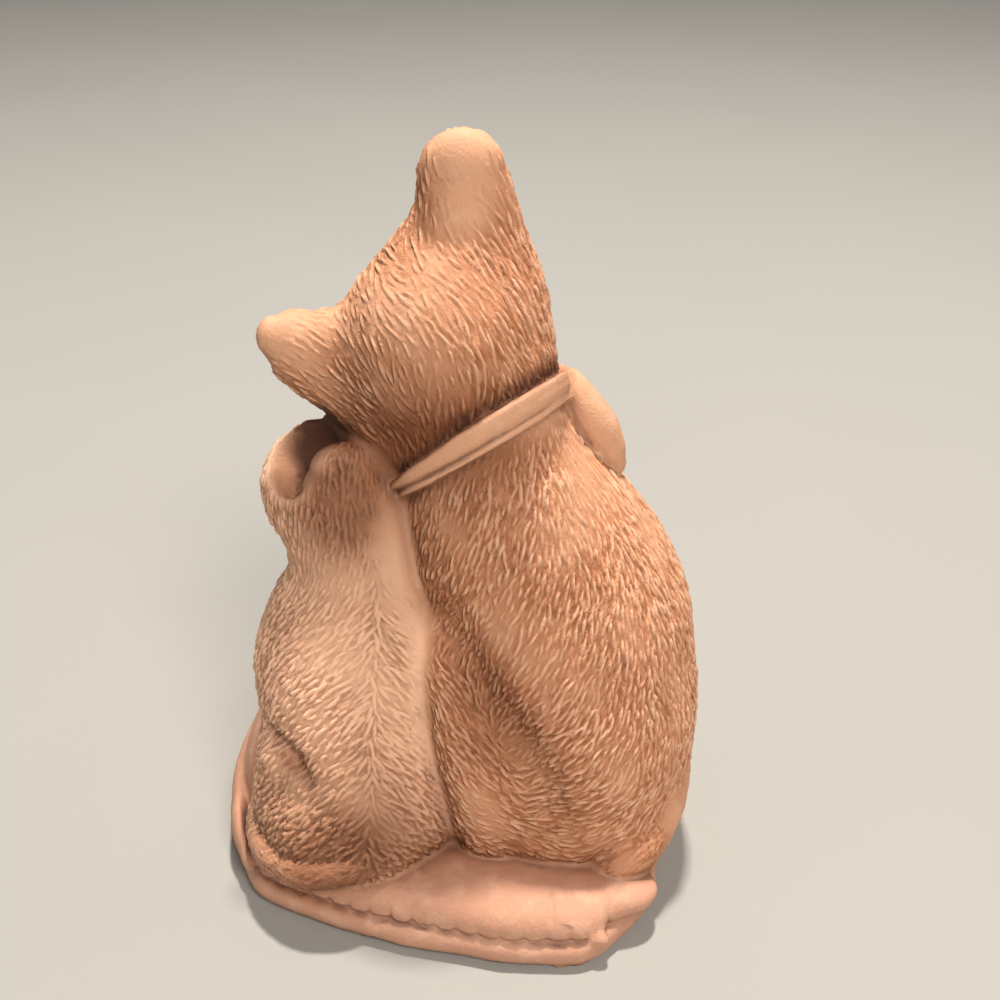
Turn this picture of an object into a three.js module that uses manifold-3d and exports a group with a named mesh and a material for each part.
// A moulded terracotta group: a mother cat with a ribbon collar leans her head over a kitten,
// both sitting on a sewn cushion. It is one piece of fired clay, in millimetres, +Z up.
// The cats look towards -Y. The kitten sits on the +X side. The underside is flat at z = 0.
import * as THREE from 'three';
import { mergeVertices } from 'three/addons/utils/BufferGeometryUtils.js';
import Module from 'manifold-3d';

const wasm = await Module();
wasm.setup();

// Cushion: a pillow with its seam low down and its corners drawn out.
const CUSHION_CENTRE = [5, -2];
const CUSHION_SEAM_Z = 7.5;
const CUSHION_TOP_RISE = 7.5;
const CUSHION_UNDER_DROP = 10;
const CUSHION_PIPING = 1.3;
const CUSHION_OUTLINE = [
  [48, 22], [31, 33], [12, 41], [-10, 43.5], [-29, 45], [-38, 34], [-40, 10],
  [-41, -22], [-38, -42], [-12, -44], [24, -45], [46, -42], [50, -22], [52, 2],
];

// Mother: sections up her body, each [x, y, z, half width, half depth].
const MOTHER_BODY = [
  [-19.5, -1, 0, 25, 29],
  [-20.5, 0, 20, 26.5, 33],
  [-19.5, -1, 42, 27, 29],
  [-15, -2, 62, 27, 25],
  [-9.5, -3, 80, 23, 20],
  [-2.5, -4, 94, 18, 17],
  [3, -4, 108, 13, 13],
];
const MOTHER_HEAD_CENTRE = [3.5, -3, 111.5];
const MOTHER_HEAD_HALF = [20.5, 20, 18.5];
const MOTHER_HEAD_ROLL = 44;

// Her ears: one points up, the other over the kitten. Sections as above, from root to tip.
const MOTHER_EAR_UP = [
  [1.5, -3, 119, 15, 10],
  [0, -3, 130, 11.5, 7.5],
  [0.2, -2.5, 140, 8.6, 5.5],
  [1, -2, 150, 7.6, 4.5],
];
const MOTHER_EAR_HOLLOWS = [
  [[0.5, -8.5, 140], [4.6, 4, 8.5]],
  [[27, -8, 110], [8, 4.5, 5]],
];
const MOTHER_NEAR_THIGH = [
  [6, 2, 58, 7, 8], [2, 8, 44, 9, 11], [-3, 13, 30, 12, 13], [-13, 14, 12, 17, 16],
];
const MOTHER_FAR_THIGH = [[-33, -6, 26], [12, 26, 19]];
const MOTHER_HIND_PAW = [[-35, -29, 13], [6, 10, 5]];
const MOTHER_TAIL = [
  [-20, 28, 13, 3, 4], [-30, 28.5, 14, 4, 5], [-38, 23, 14, 4, 5],
  [-42, 11, 14, 4, 5], [-43, -4, 14, 4, 5], [-42, -20, 13, 3.5, 4.5],
];
const MOTHER_FOREPAWS = [[-22, -31], [-7, -31]];
const MOTHER_EAR_OUT = [
  [11, -3, 108, 17, 12],
  [22, -2, 107.5, 12.5, 8],
  [30, -1.5, 110, 8.5, 5.5],
  [37, -1, 112.5, 4.5, 3.5],
];

// Kitten: the same kind of sections, up to its neck.
const KITTEN_BODY = [
  [23, 8, 0, 20, 25],
  [23, 8, 16, 20, 27],
  [23, 6, 32, 19.5, 23],
  [23.5, 2, 48, 19.5, 18],
  [21.5, 0, 62, 14.5, 15],
  [22, -1, 76, 13, 13],
];
const KITTEN_HEAD_CENTRE = [25.5, -6, 77];
const KITTEN_HEAD_HALF = [14.5, 15, 13];
const KITTEN_HEAD_ROLL = 14;
const KITTEN_HEAD_PITCH = -28;
const KITTEN_HEAD_YAW = -25;
const KITTEN_THIGH = [[37, 8, 22], [8, 19, 16]];
const KITTEN_HIND_PAW = [[40, -13, 12], [5, 9, 4.5]];
const KITTEN_TAIL = [
  [17, 33, 12, 2.5, 2.5], [25, 34, 13, 3.5, 4], [34, 32, 14, 4, 4.5],
  [41, 24, 14, 4, 4], [43, 10, 14, 4, 4], [42, -4, 14, 3.5, 3.5],
];
const KITTEN_FOREPAWS = [[14, -21], [26, -21]];
const KITTEN_EAR_BACK = [
  [22, 0, 72, 11, 10],
  [21, 4, 80, 9.5, 8],
  [21.5, 5, 88, 7.5, 5.5],
  [22, 6, 94, 4.5, 3.5],
];
// Her kitten looks up at her, so the ear on its far side shows its hollow from behind.
const KITTEN_EAR_FAR = [
  [29, -4, 72, 10, 9],
  [30, -4, 80, 10.6, 9],
  [30, -3.5, 88, 9, 7.5],
  [26.5, -3, 97.5, 5, 4.5],
];
const KITTEN_EAR_HOLLOW = [[27, 1, 92], [7, 7.5, 10]];
// The clay fills the gap between the kitten's neck and the mother's shoulder.
const NECK_FILL = [[13, -2, 79], [8, 9, 13]];

// The ribbon round the mother's neck, a flat band standing a little proud of the fur.
const COLLAR_CENTRE = [-2.5, -3, 95];
const COLLAR_RADIUS = 18.2;
const COLLAR_WIDTH = 4.2;
const COLLAR_ROLL = 37;
const COLLAR_PITCH = -4;

// The bow is tied at the side of her neck. One loop shows behind her shoulder.
const BOW_KNOT = [[-14, -16, 101.5], [4, 4, 4]];
const BOW_BACK_LOOP = [
  [-14, -13, 101, 4, 4], [-19, -9, 97, 7, 5], [-24, -7, 91, 7, 5], [-28, -5, 84, 4, 3],
];
const BOW_FRONT_LOOP = [
  [-12, -18, 101, 4, 4], [-8, -21, 96, 7, 4.5], [-6, -23, 89, 7, 4.5], [-6, -23, 82, 4, 3],
];
const BOW_RIBBON_END = [
  [-15, -16, 99, 3, 2.5], [-17, -20, 90, 4, 2.5], [-17, -23, 79, 4.5, 2.5],
];

const CLAY = new THREE.MeshStandardMaterial({ color: 0xc4835a, roughness: 0.85, metalness: 0 });

function vector([x, y, z]) {
  return new THREE.Vector3(x, y, z);
}

// Leaves only positions, with the vertices that a seam, pole or edge repeats merged into one.
function welded(geometry) {
  geometry.deleteAttribute('normal');
  geometry.deleteAttribute('uv');
  return mergeVertices(geometry, 1e-4);
}

// Hands a welded geometry over as a closed solid.
function solid(geometry) {
  return new wasm.Manifold(new wasm.Mesh({
    numProp: 3,
    vertProperties: Float32Array.from(geometry.attributes.position.array),
    triVerts: Uint32Array.from(geometry.index.array),
  }));
}

// A sphere of radius 1 with its poles on the Z axis.
function unitSphere(around, rings) {
  return welded(new THREE.SphereGeometry(1, around, rings)).rotateX(Math.PI / 2);
}

function ellipsoid(centre, half, { around = 24, rings = 16, turn = [0, 0, 0] } = {}) {
  const geometry = unitSphere(around, rings);
  geometry.scale(...half);
  const [a, b, c] = turn.map(THREE.MathUtils.degToRad);
  geometry.rotateX(a).rotateY(b).rotateZ(c);
  geometry.translate(...centre);
  return geometry;
}

// A sphere drawn out along sections [x, y, z, half width, half depth]. The curve through the
// sections is its middle line. Each ring of the sphere becomes an ellipse square to that line,
// and the two ends round off as a superellipse of the given fullness.
function drawnOut(sections, { around = 24, rings = 16, fullness = 3, across = [0, 1, 0] } = {}) {
  const line = new THREE.CatmullRomCurve3(sections.map((s) => vector(s)));
  const sizes = new THREE.CatmullRomCurve3(sections.map((s) => new THREE.Vector3(s[3], s[4], 0)));
  const geometry = unitSphere(around, rings);
  const position = geometry.attributes.position;
  const point = new THREE.Vector3();
  for (let i = 0; i < position.count; i += 1) {
    point.fromBufferAttribute(position, i);
    const height = THREE.MathUtils.clamp(point.z, -1, 1);
    const t = (height + 1) / 2;
    const middle = line.getPoint(t);
    const along = line.getTangent(t);
    const size = sizes.getPoint(t);
    const side = new THREE.Vector3().crossVectors(vector(across), along).normalize();
    const depth = new THREE.Vector3().crossVectors(along, side).normalize();
    const close = (1 - Math.abs(height) ** fullness) ** (1 / fullness);
    const turn = Math.atan2(point.y, point.x);
    middle.addScaledVector(side, Math.cos(turn) * size.x * close);
    middle.addScaledVector(depth, Math.sin(turn) * size.y * close);
    position.setXYZ(i, middle.x, middle.y, middle.z);
  }
  return geometry;
}

// The cushion is a sphere whose outline follows the drawn-out corners, flattened above and
// below its seam, with a bead of piping along that seam.
function cushionGeometry() {
  const [cx, cy] = CUSHION_CENTRE;
  const outline = new THREE.CatmullRomCurve3(
    CUSHION_OUTLINE.map(([x, y]) => new THREE.Vector3(x - cx, y - cy, 0)),
    true,
  );
  const around = 48;
  const reach = outline.getSpacedPoints(around * 8).map((p) => [Math.atan2(p.y, p.x), Math.hypot(p.x, p.y)]);
  reach.sort((a, b) => a[0] - b[0]);
  const radiusAt = (angle) => {
    let best = reach[0];
    for (const sample of reach) {
      if (Math.abs(sample[0] - angle) < Math.abs(best[0] - angle)) {
        best = sample;
      }
    }
    return best[1];
  };
  const geometry = unitSphere(around, 10);
  const position = geometry.attributes.position;
  for (let i = 0; i < position.count; i += 1) {
    const x = position.getX(i);
    const y = position.getY(i);
    const z = position.getZ(i);
    const level = Math.hypot(x, y);
    const angle = Math.atan2(y, x);
    const spread = Math.min(level, 1) ** (z > 0 ? 0.8 : 0.25);
    const bead = CUSHION_PIPING * Math.exp(-((z / 0.16) ** 2));
    const radius = level < 1e-6 ? 0 : (radiusAt(angle) - CUSHION_PIPING) * spread + bead;
    const rise = z > 0 ? CUSHION_TOP_RISE * z ** 0.8 : -CUSHION_UNDER_DROP * (-z) ** 0.8;
    position.setXYZ(
      i,
      cx + radius * Math.cos(angle),
      cy + radius * Math.sin(angle),
      CUSHION_SEAM_Z + rise,
    );
  }
  return geometry;
}

// Places a geometry that was made upright round the middle of the mother's head.
function onMotherHead(geometry) {
  geometry.rotateY(THREE.MathUtils.degToRad(MOTHER_HEAD_ROLL));
  return geometry.translate(...MOTHER_HEAD_CENTRE);
}

// Places a geometry that was made upright round the middle of the kitten's head.
function onKittenHead(geometry) {
  geometry.rotateY(THREE.MathUtils.degToRad(KITTEN_HEAD_ROLL));
  geometry.rotateX(THREE.MathUtils.degToRad(KITTEN_HEAD_PITCH));
  geometry.rotateZ(THREE.MathUtils.degToRad(KITTEN_HEAD_YAW));
  return geometry.translate(...KITTEN_HEAD_CENTRE);
}

// A plain cat's face for a head of radius 1: two whisker pads, chin, nose, brow and two eyes.
function faceParts(size) {
  const bump = (x, y, z, a, b, c) => ellipsoid(
    [x * size, y * size, z * size],
    [a * size, b * size, c * size],
    { around: 10, rings: 6 },
  );
  return [
    bump(0, -0.74, -0.28, 0.46, 0.44, 0.36),
    bump(0.17, -0.98, -0.34, 0.25, 0.23, 0.2),
    bump(-0.17, -0.98, -0.34, 0.25, 0.23, 0.2),
    bump(0, -0.9, -0.53, 0.2, 0.22, 0.15),
    bump(0, -1.02, -0.14, 0.13, 0.24, 0.15),
    bump(0.42, -0.83, 0.14, 0.2, 0.1, 0.13),
    bump(-0.42, -0.83, 0.14, 0.2, 0.1, 0.13),
  ];
}

function foreleg([x, y], shoulderZ, footZ, width) {
  return [
    drawnOut([
      [x, y, footZ, width, width],
      [x, y + 0.3 * width, (shoulderZ + footZ) / 2, width, width],
      [x, y + 2.4 * width, shoulderZ, 1.4 * width, width],
    ], { around: 8, rings: 7, fullness: 4 }),
    ellipsoid(
      [x, y - 0.8 * width, footZ],
      [1.1 * width, 1.35 * width, 0.8 * width],
      { around: 12, rings: 8 },
    ),
  ];
}

function motherParts() {
  return [
    drawnOut(MOTHER_BODY, { around: 28, rings: 14, fullness: 4 }),
    onMotherHead(ellipsoid([0, 0, 0], MOTHER_HEAD_HALF, { around: 22, rings: 13 })),
    ...faceParts(MOTHER_HEAD_HALF[1]).map(onMotherHead),
    drawnOut(MOTHER_EAR_UP, { around: 14, rings: 10 }),
    drawnOut(MOTHER_EAR_OUT, { around: 14, rings: 10 }),
    drawnOut(MOTHER_NEAR_THIGH, { around: 16, rings: 9 }),
    ellipsoid(...MOTHER_FAR_THIGH, { around: 18, rings: 10 }),
    ellipsoid(...MOTHER_HIND_PAW, { around: 12, rings: 8 }),
    drawnOut(MOTHER_TAIL, { around: 8, rings: 14, across: [0, 0, 1] }),
    ...MOTHER_FOREPAWS.flatMap((place) => foreleg(place, 62, 14, 6.2)),
  ];
}

function kittenParts() {
  return [
    drawnOut(KITTEN_BODY, { around: 22, rings: 12, fullness: 4 }),
    onKittenHead(ellipsoid([0, 0, 0], KITTEN_HEAD_HALF, { around: 18, rings: 10 })),
    ...faceParts(KITTEN_HEAD_HALF[1]).map(onKittenHead),
    drawnOut(KITTEN_EAR_FAR, { around: 14, rings: 10 }),
    ellipsoid(...NECK_FILL, { around: 10, rings: 8 }),
    ellipsoid(...KITTEN_THIGH, { around: 16, rings: 10 }),
    ellipsoid(...KITTEN_HIND_PAW, { around: 12, rings: 8 }),
    drawnOut(KITTEN_TAIL, { around: 8, rings: 16, across: [0, 0, 1] }),
    ...KITTEN_FOREPAWS.flatMap((place) => foreleg(place, 46, 13, 4.6)),
  ];
}

function collarSolid() {
  const half = COLLAR_WIDTH / 2;
  const profile = [
    new THREE.Vector2(0, -half),
    new THREE.Vector2(COLLAR_RADIUS - 0.6, -half),
    new THREE.Vector2(COLLAR_RADIUS, -half + 0.8),
    new THREE.Vector2(COLLAR_RADIUS, half - 0.8),
    new THREE.Vector2(COLLAR_RADIUS - 0.6, half),
    new THREE.Vector2(0, half),
  ];
  const geometry = welded(new THREE.LatheGeometry(profile, 32));
  geometry.rotateX(Math.PI / 2);
  geometry.rotateX(THREE.MathUtils.degToRad(COLLAR_PITCH));
  geometry.rotateY(THREE.MathUtils.degToRad(COLLAR_ROLL));
  geometry.translate(...COLLAR_CENTRE);
  return geometry;
}

function bowParts() {
  return [
    drawnOut(BOW_BACK_LOOP, { around: 12, rings: 8 }),
    drawnOut(BOW_FRONT_LOOP, { around: 12, rings: 8 }),
    drawnOut(BOW_RIBBON_END, { around: 8, rings: 6 }),
    ellipsoid(...BOW_KNOT, { around: 10, rings: 6 }),
  ];
}

// The outer skin alone: clay fills any pocket that is shut in between the two cats.
function filled(body) {
  return body.decompose().reduce((best, piece) => (piece.volume() > best.volume() ? piece : best));
}

// Everything joined into one body, the ears hollowed, and the underside cut flat.
function moulded() {
  const joined = (geometries) => geometries.map(solid).reduce((body, part) => body.add(part));
  const hollow = ([centre, half]) => ellipsoid(centre, half, { around: 12, rings: 8 });
  const mother = joined(motherParts()).subtract(joined(MOTHER_EAR_HOLLOWS.map(hollow)));
  const farEarHollow = solid(hollow(KITTEN_EAR_HOLLOW));
  const nearEar = solid(drawnOut(KITTEN_EAR_BACK, { around: 12, rings: 8 }));
  const kitten = joined(kittenParts()).subtract(farEarHollow).add(nearEar);
  const ribbon = joined([collarSolid(), ...bowParts()]);
  const below = welded(new THREE.BoxGeometry(400, 400, 100)).translate(0, 0, -50);
  const body = solid(cushionGeometry()).add(mother).add(kitten).add(ribbon).subtract(solid(below));
  return filled(body);
}

// The origin is at the middle of the box round the figurine, on its underside.
function figurine() {
  const { vertProperties, triVerts } = moulded().getMesh();
  const geometry = new THREE.BufferGeometry();
  geometry.setAttribute('position', new THREE.BufferAttribute(vertProperties, 3));
  geometry.setIndex(new THREE.BufferAttribute(triVerts, 1));
  geometry.computeBoundingBox();
  const centre = geometry.boundingBox.getCenter(new THREE.Vector3());
  geometry.translate(-centre.x, -centre.y, 0);
  const mesh = new THREE.Mesh(geometry, CLAY);
  mesh.name = 'figurine';
  return mesh;
}

const group = new THREE.Group();
group.add(figurine());

export default group;
